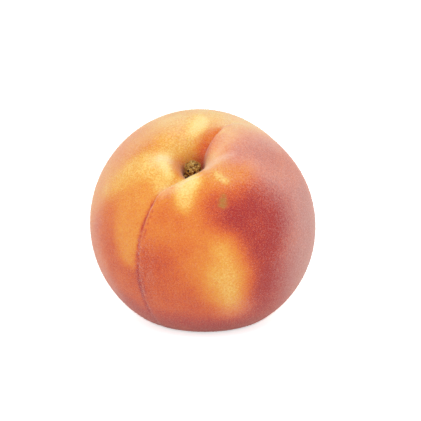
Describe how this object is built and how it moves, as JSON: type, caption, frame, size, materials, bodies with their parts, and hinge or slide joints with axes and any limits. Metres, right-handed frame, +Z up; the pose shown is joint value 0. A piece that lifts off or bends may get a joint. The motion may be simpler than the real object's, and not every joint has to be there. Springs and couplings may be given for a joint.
{
  "type": "peach",
  "caption": "Whole ripe peach with a stem cavity, a suture groove and a short woody stem stub, lying tilted on a small flat spot of its skin.",
  "frame": {"origin": "middle of the small flat spot on the underside of the fruit, where it rests on the surface", "axes": "+Z up; +Y away from the side where the suture shows; +X towards the fuller, redder cheek. The stem end leans about 38 degrees from +Z towards -Y."},
  "size_m": [0.0718, 0.0724, 0.0686],
  "materials": {
    "skin": "velvety skin with short fuzz; yellow to orange ground with a crimson blush",
    "stem_wood": "dry, rough, corky"
  },
  "bodies": {
    "root": {"fruit": "skin", "stem_stub": "stem_wood"}
  },
  "joints": []
}
